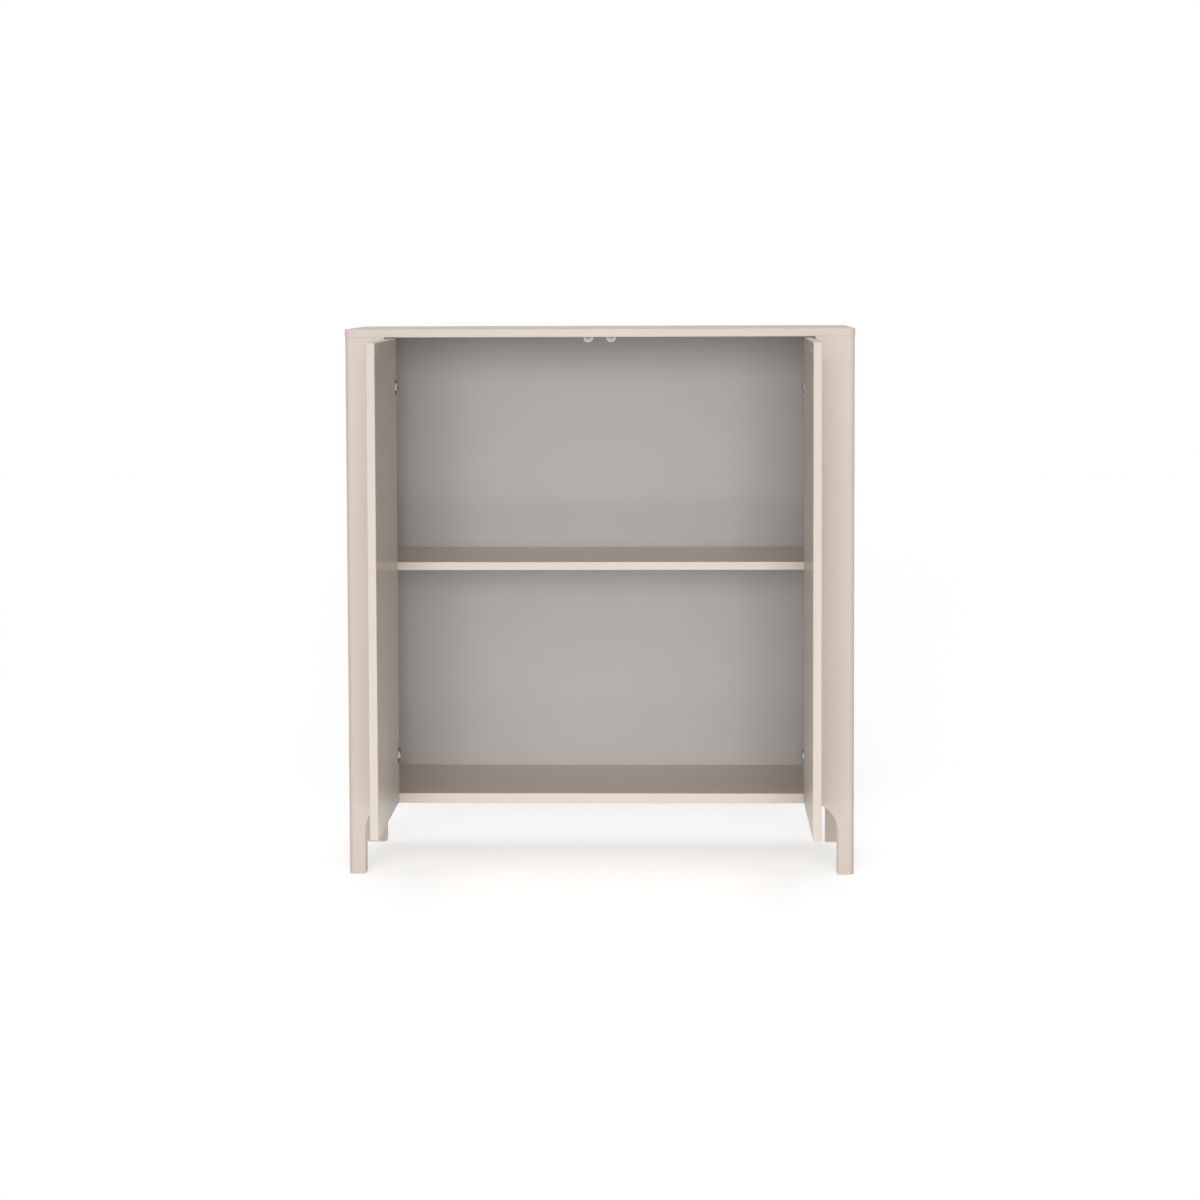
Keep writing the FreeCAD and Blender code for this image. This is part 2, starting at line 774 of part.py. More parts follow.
def sided_pieces():
    """Left-hand pieces that have a node on each side, by a name with a place for the side."""
    pieces = {
        "front_post_{}": [front_post()],
        "rear_post_{}": [rear_post()],
        "side_panel_{}": [side_panel()],
        "{}_door": [door()],
        "{}_strike_plate": [strike_plate()],
        "{}_strike_screw": [screw(strike_screw_seat(), X_AXIS, screw_length)],
        "{}_latch_housing": [latch_housing()],
        "{}_latch_plunger": [latch_plunger()],
        "{}_latch_magnet": [latch_magnet()],
        "{}_latch_spring": [latch_spring()],
    }
    cup_screws = []
    for level, height in hinge_heights.items():
        pieces["{}_" + level + "_hinge_cup"] = [hinge_cup(height)]
        pieces["{}_" + level + "_hinge_pin"] = [hinge_pin(height)]
        pieces["{}_" + level + "_hinge_arm"] = [hinge_arm(height)]
        pieces["{}_" + level + "_hinge_plate"] = [hinge_plate(height)]
        cup_screws += [screw(seat, X_AXIS, screw_length) for seat in cup_screw_seats(height)]
    pieces["{}_cup_screws"] = cup_screws
    return pieces


def shared_pieces():
    """Single pieces, and groups of like fixings that share a node."""
    plate_screws = []
    arm_screws = []
    for height in hinge_heights.values():
        for seat in plate_screw_seats(height):
            plate_screws += both(screw(seat, X_AXIS, screw_length))
        arm_screws += both(screw(arm_screw_seat(height), X_AXIS, screw_length))
    feet = ((front_leg_x, front_middle_y), (rear_leg_x, rear_middle_y))
    dowels = ((post_middle_x, front_middle_y), (rear_leg_x, rear_middle_y))
    return {
        "top_panel": [top_panel()],
        "bottom_panel": [bottom_panel()],
        "shelf": [shelf()],
        "back_panel": [back_panel()],
        "hinge_plate_screws": plate_screws,
        "hinge_arm_screws": arm_screws,
        "latch_screws": on_both_sides(screw(seat, -Z_AXIS, screw_length) for seat in latch_screw_seats()),
        "shelf_pins": on_both_sides(shelf_pin(y) for y in shelf_pin_ys),
        "back_screws": [screw(seat, Y_AXIS, back_screw_length) for seat in back_screw_seats()],
        "bottom_inserts": on_both_sides(bottom_insert(seat) for seat in insert_seats()),
        "bottom_bolts": on_both_sides(bottom_bolt(seat) for seat in insert_seats()),
        "bolt_caps": on_both_sides(bolt_cap(seat) for seat in insert_seats()),
        "top_dowels": on_both_sides(top_dowel(x, y) for x, y in dowels),
        "cam_bolts": on_both_sides(cam_bolt(y) for y in cam_ys),
        "cam_discs": on_both_sides(cam_disc(y) for y in cam_ys),
        "foot_glides": on_both_sides(foot_glide(x, y) for x, y in feet),
    }


def on_both_sides(shapes):
    solids = []
    for shape in shapes:
        solids += both(shape)
    return solids


def save(name, solids):
    moved = [solid.translated(point(0, -origin_y, 0)) for solid in solids]
    shape = moved[0] if len(moved) == 1 else Part.makeCompound(moved)
    shape.exportStep(os.path.join("parts", name + ".step"))


def main():
    os.makedirs("parts", exist_ok=True)
    for name, solids in shared_pieces().items():
        save(name, solids)
    for name, solids in sided_pieces().items():
        save(name.format("left"), solids)
        save(name.format("right"), [mirrored(solid) for solid in solids])


main()
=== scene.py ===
import json
import math

import bmesh
import bpy
from mathutils import Matrix, Vector


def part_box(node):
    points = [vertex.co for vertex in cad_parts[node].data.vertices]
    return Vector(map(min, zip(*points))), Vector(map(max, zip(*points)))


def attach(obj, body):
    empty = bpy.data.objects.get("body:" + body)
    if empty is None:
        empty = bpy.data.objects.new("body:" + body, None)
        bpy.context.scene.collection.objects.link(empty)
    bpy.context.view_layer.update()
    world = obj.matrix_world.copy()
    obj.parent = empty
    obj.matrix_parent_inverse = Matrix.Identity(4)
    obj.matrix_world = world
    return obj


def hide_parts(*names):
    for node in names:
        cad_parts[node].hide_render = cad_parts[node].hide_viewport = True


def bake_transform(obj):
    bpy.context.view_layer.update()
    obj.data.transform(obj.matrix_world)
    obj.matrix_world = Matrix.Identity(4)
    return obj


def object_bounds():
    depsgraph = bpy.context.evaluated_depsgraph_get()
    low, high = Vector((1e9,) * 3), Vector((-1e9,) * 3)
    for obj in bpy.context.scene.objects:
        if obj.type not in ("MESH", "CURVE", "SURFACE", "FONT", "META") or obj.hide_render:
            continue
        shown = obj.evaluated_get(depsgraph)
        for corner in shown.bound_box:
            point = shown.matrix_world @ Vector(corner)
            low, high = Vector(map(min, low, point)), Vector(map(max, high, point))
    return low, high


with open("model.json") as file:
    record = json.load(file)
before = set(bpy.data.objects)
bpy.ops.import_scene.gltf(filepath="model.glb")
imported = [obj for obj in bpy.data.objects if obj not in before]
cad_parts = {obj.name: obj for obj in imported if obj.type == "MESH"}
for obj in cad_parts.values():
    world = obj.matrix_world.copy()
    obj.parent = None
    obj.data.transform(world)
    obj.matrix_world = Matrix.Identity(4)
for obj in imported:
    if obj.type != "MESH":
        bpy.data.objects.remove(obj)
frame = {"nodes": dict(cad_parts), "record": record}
cad_low, cad_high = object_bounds()
SLOT_OF = {part["node"]: part["material_slot"] for part in frame["record"]["subparts"]}
BODY_OF = {node: body for body, nodes in frame["record"]["behaviour"]["bodies"].items() for node in nodes}

# Camera, found from the photographed edges (metres, radians, pixels of a square image)
IMAGE_SIDE = 1200
SENSOR_WIDTH = 36.0
CAMERA_PLACE = Vector((0.177, -6.5282, 1.3058))
CAMERA_YAW = 0.02702
CAMERA_PITCH = 0.06649
CAMERA_ROLL = 0.00347
FOCAL_PIXELS = 3004.9
PRINCIPAL_ROW = 480

# Finishes, as linear colours
LACQUER_TINT = (0.625, 0.548, 0.486, 1.0)
BACK_TINT = (0.410, 0.395, 0.377, 1.0)
NICKEL_TINT = (0.34, 0.33, 0.315, 1.0)
ZINC_TINT = (0.46, 0.46, 0.45, 1.0)
CAST_TINT = (0.50, 0.50, 0.48, 1.0)
WIRE_TINT = (0.42, 0.42, 0.42, 1.0)
MAGNET_TINT = (0.66, 0.65, 0.64, 1.0)
LATCH_TINT = (0.76, 0.75, 0.72, 1.0)
PLUNGER_TINT = (0.24, 0.24, 0.23, 1.0)
BEECH_TINT = (0.52, 0.31, 0.16, 1.0)
FLECK_TINT = (0.36, 0.19, 0.09, 1.0)
GLIDE_TINT = (0.66, 0.64, 0.60, 1.0)
WHITE = (1.0, 1.0, 1.0, 1.0)

# Surface detail: noise scales per metre, heights in metres, stretch along each axis
NOISE_LOW = 0.3
NOISE_HIGH = 0.7
FINE_SHARE = 0.4
LACQUER_PEBBLES = 420.0
MOULDED_PEBBLES = 1400.0
PEBBLE_HEIGHT = 0.0001
PEBBLE_STRENGTH = 0.25
FINE_LINES = 2600.0
SCREW_LINES = 1800.0
CAST_LINES = 1200.0
LINE_HEIGHT = 0.00004
LINE_STRENGTH = 0.3
LINES_UPRIGHT = (1.0, 1.0, 0.03)
LINES_ALONG_SPRING = (1.0, 0.1, 1.0)
NO_STRETCH = (1.0, 1.0, 1.0)
FLECK_SCALE = 900.0
FLECK_STRETCH = (1.0, 1.0, 0.06)
FLECK_DARK_END = 0.34
FLECK_PALE_END = 0.62
BEECH_ROUGHNESS = (0.5, 0.65)
GRAIN_HEIGHT = 0.0001
GRAIN_STRENGTH = 0.3

# Hinge cups
CUP_FLANGE = 0.0012
CUP_RADIUS = 0.01745
CUP_WALL = 0.001
CUP_BEND = 0.0018
EAR_THICKNESS = 0.0009
EAR_OFFSET = 0.006
EAR_RADIUS = 0.008
BOSS_RADIUS = 0.0029
BOSS_PLACE = 0.0083
BOSS_LENGTH = 0.0032

# Hinge arms and plates
ARM_THICKNESS = 0.0024
ARM_BEND = 0.0026
ARM_BEHIND_DOOR = 0.0025
ARM_LEAN = 0.0022
ARM_RIM_ANGLE = math.radians(60)
RIB_MARGIN = 0.0034
RIB_DEPTH = 0.0006
KNUCKLE_RADIUS = 0.0029
KNUCKLE_BORE = 0.00165
PLATE_CORNER = 0.003
STRIKE_CORNER = 0.003

# Push latches
LATCH_WALL = 0.0021
LATCH_BASE = 0.0012
LATCH_POCKET = 0.008
LATCH_LENGTH = 0.040
LATCH_END_ROUNDING = 0.0009
TAB_CORNER = 0.003
PLUNGER_RADIUS = 0.0025
PLUNGER_HEAD_RADIUS = 0.0033
PLUNGER_HEAD_LENGTH = 0.0075
NOSE_ROUNDING = 0.0006
COLLAR_LENGTH = 0.002

# Meshes
ORIGIN = (0.0, 0.0, 0.0)
X_AXIS = Vector((1.0, 0.0, 0.0))
Y_AXIS = Vector((0.0, 1.0, 0.0))
Z_AXIS = Vector((0.0, 0.0, 1.0))
RIM_ROUNDING = 0.0003
RIM_STEPS = 2
BEND_STEPS = 4
CORNER_STEPS = 5
TURNED_STEPS = 48
SMOOTH_ANGLE = math.radians(35)
WELD = 0.000001
SHELL_GAP = 0.000005

# Distant soft lights: degrees round from the front, degrees up, degrees across, strength
DISTANT_LIGHTS = {
    "front_key": (0.0, 5.0, 24.0, 2.24),
    "front_wide": (0.0, 8.0, 60.0, 0.36),
    "front_high": (0.0, 40.0, 40.0, 0.54),
    "overhead": (180.0, 80.0, 50.0, 0.63),
    "back_left": (-130.0, 2.0, 6.0, 0.90),
    "back_right": (130.0, 2.0, 6.0, 0.90),
}

# Low soft lights near the floor: place, aim, width, height, watts
LOW_LIGHTS = {
    "front_strip": (Vector((0.0, -1.7, 0.17)), Vector((0.0, 0.2, 0.17)), 2.6, 0.14, 5.9),
    "floor_bounce": (Vector((0.0, -0.42, 0.01)), Vector((0.0, -0.42, 1.0)), 0.84, 0.10, 0.9),
}

# Dome and floor
DOME_STRENGTH = 0.05
DOME_SHOWN_STRENGTH = 1.0
FLOOR_RADIUS = 14.0
FLOOR_STEPS = 96
FLOOR_BOUNCE = 0.82
FLOOR_SHOWN_SHADE = 1.0
FLOOR_SHOWN_GLOW = 0.53


# Node helpers

def cleared(owner):
    """The emptied node tree of a material or world."""
    owner.use_nodes = True
    owner.node_tree.nodes.clear()
    return owner.node_tree


def place(tree, kind, **settings):
    """A new node with its own settings."""
    node = tree.nodes.new(kind)
    for name, value in settings.items():
        setattr(node, name, value)
    return node


def fill(node, **values):
    """Set a node's sockets by name, with an underscore for each space."""
    for name, value in values.items():
        node.inputs[name.replace("_", " ")].default_value = value
    return node


def wire(tree, source, target):
    """Join two pairs of a node and its socket's name or number."""
    tree.links.new(source[0].outputs[source[1]], target[0].inputs[target[1]])


def calculate(tree, operation, first, second):
    """A sum or difference of a number and a wired value."""
    node = place(tree, "ShaderNodeMath", operation=operation)
    node.inputs[0].default_value = first
    wire(tree, second, (node, 1))
    return node, "Value"


def effect(name, inputs, outputs):
    """An empty shader group with named sockets, and its two end nodes."""
    tree = bpy.data.node_groups.new(name, "ShaderNodeTree")
    for label, kind, value in inputs:
        socket = tree.interface.new_socket(label, in_out="INPUT", socket_type=kind)
        socket.default_value = value
    for label, kind in outputs:
        tree.interface.new_socket(label, in_out="OUTPUT", socket_type=kind)
    return tree, place(tree, "NodeGroupInput"), place(tree, "NodeGroupOutput")


def use(tree, group, **values):
    """Place an effect in a material with its own values."""
    node = place(tree, "ShaderNodeGroup", node_tree=group)
    return fill(node, **values)


def noise(tree, where, scale, **values):
    """A noise over wired coordinates, with a wired scale."""
    node = fill(place(tree, "ShaderNodeTexNoise"), **values)
    wire(tree, where, (node, "Vector"))
    wire(tree, scale, (node, "Scale"))
    return node, "Fac"


def spread(tree, source, low, high):
    """Bring a noise into a range whose ends are numbers or wired values."""
    node = fill(place(tree, "ShaderNodeMapRange", clamp=True), From_Min=NOISE_LOW, From_Max=NOISE_HIGH)
    wire(tree, source, (node, "Value"))
    for label, value in (("To Min", low), ("To Max", high)):
        if isinstance(value, tuple):
            wire(tree, value, (node, label))
        else:
            node.inputs[label].default_value = value
    return node, "Result"


# Effects that several finishes share

def make_clouding():
    """A broad, faint drift of a colour, with a finer mottle on it."""
    tree, start, end = effect(
        "clouding",
        [("Tint", "NodeSocketColor", (0.5, 0.5, 0.5, 1.0)), ("Depth", "NodeSocketFloat", 0.03),
         ("Broad Scale", "NodeSocketFloat", 4.0), ("Fine Scale", "NodeSocketFloat", 90.0)],
        [("Color", "NodeSocketColor")])
    where = (place(tree, "ShaderNodeTexCoord"), "Object")
    blend = fill(place(tree, "ShaderNodeMix", data_type="FLOAT"), Factor=FINE_SHARE)
    wire(tree, noise(tree, where, (start, "Broad Scale"), Detail=2.0), (blend, "A"))
    wire(tree, noise(tree, where, (start, "Fine Scale"), Detail=3.0), (blend, "B"))
    darkest = calculate(tree, "SUBTRACT", 1.0, (start, "Depth"))
    palest = calculate(tree, "ADD", 1.0, (start, "Depth"))
    tinted = place(tree, "ShaderNodeVectorMath", operation="SCALE")
    wire(tree, (start, "Tint"), (tinted, 0))
    wire(tree, spread(tree, (blend, "Result"), darkest, palest), (tinted, "Scale"))
    wire(tree, (tinted, "Vector"), (end, "Color"))
    return tree


def make_spray_skin():
    """The faint skin of a sprayed finish: a pebbled height, and a drifting gloss."""
    tree, start, end = effect(
        "spray_skin",
        [("Pebble Scale", "NodeSocketFloat", LACQUER_PEBBLES), ("Gloss Scale", "NodeSocketFloat", 14.0),
         ("Smoothest", "NodeSocketFloat", 0.3), ("Roughest", "NodeSocketFloat", 0.4)],
        [("Height", "NodeSocketFloat"), ("Roughness", "NodeSocketFloat")])
    where = (place(tree, "ShaderNodeTexCoord"), "Object")
    pebble = noise(tree, where, (start, "Pebble Scale"), Detail=2.0, Roughness=0.4)
    gloss = noise(tree, where, (start, "Gloss Scale"), Detail=4.0)
    wire(tree, pebble, (end, "Height"))
    wire(tree, spread(tree, gloss, (start, "Smoothest"), (start, "Roughest")), (end, "Roughness"))
    return tree


def make_brushing():
    """Fine lines along one direction, as rolled or brushed metal has."""
    tree, start, end = effect(
        "brushing",
        [("Stretch", "NodeSocketVector", LINES_UPRIGHT), ("Line Scale", "NodeSocketFloat", FINE_LINES),
         ("Smoothest", "NodeSocketFloat", 0.22), ("Roughest", "NodeSocketFloat", 0.42)],
        [("Height", "NodeSocketFloat"), ("Roughness", "NodeSocketFloat")])
    stretched = place(tree, "ShaderNodeVectorMath", operation="MULTIPLY")
    wire(tree, (place(tree, "ShaderNodeTexCoord"), "Object"), (stretched, 0))
    wire(tree, (start, "Stretch"), (stretched, 1))
    lines = noise(tree, (stretched, "Vector"), (start, "Line Scale"), Detail=3.0)
    wire(tree, lines, (end, "Height"))
    wire(tree, spread(tree, lines, (start, "Smoothest"), (start, "Roughest")), (end, "Roughness"))
    return tree


CLOUDING = make_clouding()
SPRAY_SKIN = make_spray_skin()
BRUSHING = make_brushing()


# Finishes

def blank_finish(name):
    """A material with only its shader and output, and its tree."""
    material = bpy.data.materials.new(name)
    tree = cleared(material)
    shader = place(tree, "ShaderNodeBsdfPrincipled")
    out = place(tree, "ShaderNodeOutputMaterial")
    wire(tree, (shader, "BSDF"), (out, "Surface"))
    return material, tree, shader


def raise_grain(tree, shader, source, height, strength):
    """Turn a noise into the shader's normal."""
    bump = fill(place(tree, "ShaderNodeBump"), Strength=strength, Distance=height)
    wire(tree, source, (bump, "Height"))
    wire(tree, (bump, "Normal"), (shader, "Normal"))


def sprayed(name, tint, cloud_depth, roughness, pebble_scale=MOULDED_PEBBLES):
    """A sprayed or moulded surface: clouded colour, drifting gloss and a pebbled skin."""
    material, tree, shader = blank_finish(name)
    smoothest, roughest = roughness
    cloud = use(tree, CLOUDING, Tint=tint, Depth=cloud_depth)
    skin = use(tree, SPRAY_SKIN, Pebble_Scale=pebble_scale, Smoothest=smoothest, Roughest=roughest)
    wire(tree, (cloud, "Color"), (shader, "Base Color"))
    wire(tree, (skin, "Roughness"), (shader, "Roughness"))
    raise_grain(tree, shader, (skin, "Height"), PEBBLE_HEIGHT, PEBBLE_STRENGTH)
    return material


def satin_lacquer():
    """A matt colour coat under a thin clear one that mirrors faintly at low angles."""
    material = sprayed("satin_lacquer", LACQUER_TINT, cloud_depth=0.012, roughness=(0.46, 0.56),
                       pebble_scale=LACQUER_PEBBLES)
    shader = material.node_tree.nodes["Principled BSDF"]
    fill(shader, Specular_IOR_Level=0.1, Coat_Weight=0.3, Coat_Roughness=0.13)
    return material


def metal(name, tint, roughness, stretch=NO_STRETCH, line_scale=FINE_LINES):
    """A plated or bare metal, with fine lines along one direction or an even grain."""
    material, tree, shader = blank_finish(name)
    fill(shader, Metallic=1.0)
    smoothest, roughest = roughness
    cloud = use(tree, CLOUDING, Tint=tint, Depth=0.06, Broad_Scale=60.0, Fine_Scale=700.0)
    lines = use(tree, BRUSHING, Stretch=stretch, Line_Scale=line_scale,
                Smoothest=smoothest, Roughest=roughest)
    wire(tree, (cloud, "Color"), (shader, "Base Color"))
    wire(tree, (lines, "Roughness"), (shader, "Roughness"))
    raise_grain(tree, shader, (lines, "Height"), LINE_HEIGHT, LINE_STRENGTH)
    return material


def beech():
    """Straight-grained beech with short dark flecks along the dowel."""
    material, tree, shader = blank_finish("beech")
    along = fill(place(tree, "ShaderNodeMapping"), Scale=FLECK_STRETCH)
    wire(tree, (place(tree, "ShaderNodeTexCoord"), "Object"), (along, "Vector"))
    flecks = fill(place(tree, "ShaderNodeTexNoise"), Scale=FLECK_SCALE, Detail=4.0)
    wire(tree, (along, "Vector"), (flecks, "Vector"))
    ramp = place(tree, "ShaderNodeValToRGB")
    stops = ((FLECK_DARK_END, FLECK_TINT), (FLECK_PALE_END, BEECH_TINT))
    for element, (position, tint) in zip(ramp.color_ramp.elements, stops):
        element.position = position
        element.color = tint
    wire(tree, (flecks, "Fac"), (ramp, "Fac"))
    wire(tree, (ramp, "Color"), (shader, "Base Color"))
    wire(tree, spread(tree, (flecks, "Fac"), *BEECH_ROUGHNESS), (shader, "Roughness"))
    raise_grain(tree, shader, (flecks, "Fac"), GRAIN_HEIGHT, GRAIN_STRENGTH)
    return material


FINISHES = {
    "lacquer": satin_lacquer(),
    "back_board": sprayed("back_board", BACK_TINT, cloud_depth=0.015, roughness=(0.52, 0.62)),
    "hinge_steel": metal("nickel_plate", NICKEL_TINT, roughness=(0.08, 0.16), stretch=LINES_UPRIGHT),
    "screw_steel": metal("zinc_plate", ZINC_TINT, roughness=(0.26, 0.42), line_scale=SCREW_LINES),
    "zinc": metal("cast_zinc", CAST_TINT, roughness=(0.36, 0.52), line_scale=CAST_LINES),
    "spring_steel": metal("spring_wire", WIRE_TINT, roughness=(0.26, 0.40), stretch=LINES_ALONG_SPRING),
    "magnet": metal("magnet_plate", MAGNET_TINT, roughness=(0.14, 0.24)),
    "latch_plastic": sprayed("latch_plastic", LATCH_TINT, cloud_depth=0.02, roughness=(0.36, 0.48)),
    "plunger_plastic": sprayed("plunger_plastic", PLUNGER_TINT, cloud_depth=0.02, roughness=(0.36, 0.48)),
    "beech": beech(),
    "glide_nylon": sprayed("glide_nylon", GLIDE_TINT, cloud_depth=0.02, roughness=(0.42, 0.55)),
}


def dress_nodes():
    """Give every carried-over node the finish of its slot."""
    for name, slot in SLOT_OF.items():
        node = frame["nodes"][name]
        node.data.materials.clear()
        node.data.materials.append(FINISHES[slot])


# Mesh helpers

def piece_from(mesh, name):
    """Make a finished bmesh an object."""
    data = bpy.data.meshes.new(name)
    mesh.to_mesh(data)
    mesh.free()
    obj = bpy.data.objects.new(name, data)
    bpy.context.scene.collection.objects.link(obj)
    return obj


def add_shell(mesh, shell, offset=ORIGIN):
    """Put one closed shell with the others of a piece."""
    bmesh.ops.translate(shell, vec=offset, verts=shell.verts)
    data = bpy.data.meshes.new("shell")
    shell.to_mesh(data)
    shell.free()
    mesh.from_mesh(data)
    bpy.data.meshes.remove(data)


def round_off(mesh, corners, radius):
    """Round some corners of a lone flat face, and return the face that is left."""
    made = bmesh.ops.bevel(mesh, geom=corners, offset=radius, segments=CORNER_STEPS, profile=0.5,
                           affect="VERTICES", material=-1)
    return made["verts"][0].link_faces[0]


def pull(mesh, made, depth):
    """Move the vertices that an extrusion made."""
    bmesh.ops.translate(mesh, vec=depth, verts=[v for v in made if isinstance(v, bmesh.types.BMVert)])


def thicken(mesh, faces, depth):
    """Pull flat faces out into a solid, and return the faces at the far end."""
    made = bmesh.ops.extrude_face_region(mesh, geom=faces)["geom"]
    pull(mesh, made, depth)
    return [f for f in made if isinstance(f, bmesh.types.BMFace)]


def rim_of(faces):
    """The edges round a patch of faces."""
    return [e for f in faces for e in f.edges if len([g for g in e.link_faces if g in faces]) == 1]


def soften(mesh, edges, width, steps=RIM_STEPS):
    """Round some edges."""
    bmesh.ops.bevel(mesh, geom=edges, offset=width, segments=steps, profile=0.5, affect="EDGES", material=-1)


def soft_slab(outline, rounded, radius, depth):
    """A slab on a flat outline, with its last few corners rounded and a soft rim at the far face."""
    mesh = bmesh.new()
    corners = [mesh.verts.new(point) for point in outline]
    mesh.faces.new(corners)
    face = round_off(mesh, corners[-rounded:], radius)
    soften(mesh, rim_of(thicken(mesh, [face], depth)), RIM_ROUNDING)
    return mesh


def turned(section, along, out):
    """A lathe-turned shell from (distance along, radius, rounding) corners of its section."""
    mesh = bmesh.new()
    corners = [mesh.verts.new(along * distance + out * radius) for distance, radius, _ in section]
    face = mesh.faces.new(corners)
    for corner, (_, _, rounding) in zip(corners, section):
        if rounding:
            face = round_off(mesh, [corner], rounding)
    off_axis = [e for e in face.edges if any(v.co.dot(out) > WELD for v in e.verts)]
    on_axis = [e for e in face.edges if e not in off_axis]
    ends = list(dict.fromkeys(v for e in off_axis for v in e.verts))
    bmesh.ops.delete(mesh, geom=[face], context="FACES_ONLY")
    bmesh.ops.delete(mesh, geom=on_axis, context="EDGES")
    bmesh.ops.spin(mesh, geom=off_axis + ends, cent=ORIGIN, axis=along, angle=2 * math.pi,
                   steps=TURNED_STEPS, use_merge=True)
    return mesh


def seat_turned(mesh, low, high):
    """Move a piece that was turned along Y from the origin to the front of its node."""
    front = ((low.x + high.x) / 2, low.y, (low.z + high.z) / 2)
    bmesh.ops.translate(mesh, vec=front, verts=mesh.verts)
    return mesh


def half_disc(radius, hole=0.0):
    """The lower half of a disc or ring in the XZ plane, as the catches have."""
    mesh = bmesh.new()
    bmesh.ops.create_circle(mesh, cap_ends=not hole, segments=TURNED_STEPS, radius=radius)
    if hole:
        bmesh.ops.create_circle(mesh, segments=TURNED_STEPS, radius=hole)
        bmesh.ops.bridge_loops(mesh, edges=mesh.edges[:])
    bmesh.ops.bisect_plane(mesh, geom=mesh.verts[:] + mesh.edges[:] + mesh.faces[:], dist=WELD,
                           plane_co=ORIGIN, plane_no=Y_AXIS, clear_outer=True)
    upright = Matrix.Rotation(math.pi / 2, 3, "X")
    bmesh.ops.rotate(mesh, cent=ORIGIN, matrix=upright, verts=mesh.verts)
    return mesh


# Pressed and moulded pieces, each drawn for the left-hand side in the room of its node

def pressed_cup(low, high, pivot):
    """The cup and its rolled flange, two screw ears, and the bosses that hold the pin."""
    depth = high.x - low.x - CUP_FLANGE
    inner = CUP_RADIUS - CUP_WALL
    flange_radius = (high.y - low.y) / 2
    half_height = (high.z - low.z) / 2
    middle = Vector((high.x - CUP_FLANGE, (low.y + high.y) / 2, (low.z + high.z) / 2))
    mesh = turned([
        (CUP_WALL - depth, 0.0, 0.0), (CUP_WALL - depth, inner, CUP_BEND),
        (CUP_FLANGE, inner, CUP_FLANGE / 2), (CUP_FLANGE, flange_radius, CUP_FLANGE / 2),
        (0.0, flange_radius, 0.0), (0.0, CUP_RADIUS, 0.0),
        (-depth, CUP_RADIUS, CUP_BEND), (-depth, 0.0, 0.0),
    ], X_AXIS, Y_AXIS)
    under_flange = (inner + flange_radius) / 2
    ear_front, ear_back = -EAR_OFFSET - EAR_RADIUS, -EAR_OFFSET + EAR_RADIUS
    pin = pivot - middle
    foot, crown = CUP_WALL / 2 - depth, pin.x + BOSS_RADIUS
    for side in (-1, 1):
        tucked = [(0.0, y, side * math.sqrt(under_flange ** 2 - y ** 2))
                  for y in (ear_front, -EAR_OFFSET, ear_back)]
        tip = [(0.0, y, side * half_height) for y in (ear_back, ear_front)]
        ear = soft_slab(tucked + tip, rounded=2, radius=EAR_RADIUS - RIM_ROUNDING,
                        depth=X_AXIS * EAR_THICKNESS)
        add_shell(mesh, ear)
        boss = soft_slab([(foot, pin.y - BOSS_RADIUS, 0.0), (foot, pin.y + BOSS_RADIUS, 0.0),
                          (crown, pin.y + BOSS_RADIUS, 0.0), (crown, pin.y - BOSS_RADIUS, 0.0)],
                         rounded=2, radius=BOSS_RADIUS - RIM_ROUNDING, depth=Z_AXIS * side * BOSS_LENGTH)
        add_shell(mesh, boss, Z_AXIS * side * BOSS_PLACE)
    bmesh.ops.translate(mesh, vec=middle, verts=mesh.verts)
    return mesh


def bent_arm(low, high, pivot, door_edge):
    """A ribbed strip from the knuckle on the pin, round the door's edge and onto the plate."""
    width = high.z - low.z
    crest, foot = high.x - ARM_THICKNESS / 2 - RIB_DEPTH, low.x + ARM_THICKNESS / 2
    back = door_edge + ARM_BEHIND_DOOR + ARM_THICKNESS / 2
    # The strip's rim leans with the rib's slope, and this keeps it inside the node
    flare = ARM_THICKNESS / 2 * RIB_DEPTH / RIB_MARGIN
    bends = [(pivot.x + KNUCKLE_BORE, pivot.y), (crest, pivot.y + ARM_LEAN), (crest, back), (foot, back),
             (foot, high.y - flare)]
    mesh = bmesh.new()
    corners = [mesh.verts.new((x, y, low.z + flare)) for x, y in bends]
    line = [mesh.edges.new(pair) for pair in zip(corners, corners[1:])]
    made = bmesh.ops.extrude_edge_only(mesh, edges=line)["geom"]
    pull(mesh, made, Z_AXIS * (width - 2 * flare))
    soften(mesh, [e for e in mesh.edges if len(e.link_faces) == 2], ARM_BEND, BEND_STEPS)
    bmesh.ops.inset_region(mesh, faces=mesh.faces[:], thickness=RIB_MARGIN, depth=-RIB_DEPTH,
                           use_boundary=True, use_even_offset=True)
    # Half of the thickness lies on each side of the bent line
    mesh.normal_update()
    for vert in mesh.verts:
        vert.co += vert.normal * ARM_THICKNESS / 2
    bmesh.ops.solidify(mesh, geom=mesh.faces[:], thickness=ARM_THICKNESS)
    soften(mesh, [e for e in mesh.edges if e.calc_face_angle(0.0) > ARM_RIM_ANGLE], RIM_ROUNDING)
    knuckle = turned([(0.0, KNUCKLE_BORE, 0.0), (0.0, KNUCKLE_RADIUS, RIM_ROUNDING),
                      (width, KNUCKLE_RADIUS, RIM_ROUNDING), (width, KNUCKLE_BORE, 0.0)], Z_AXIS, X_AXIS)
    add_shell(mesh, knuckle, (pivot.x, pivot.y, low.z))
    return mesh


def stamped_plate(low, high, corner):
    """A flat steel plate with round corners and a soft rim, on a face that looks along X."""
    outline = [(low.x, low.y, low.z), (low.x, high.y, low.z), (low.x, high.y, high.z), (low.x, low.y, high.z)]
    return soft_slab(outline, rounded=len(outline), radius=corner, depth=X_AXIS * (high.x - low.x))


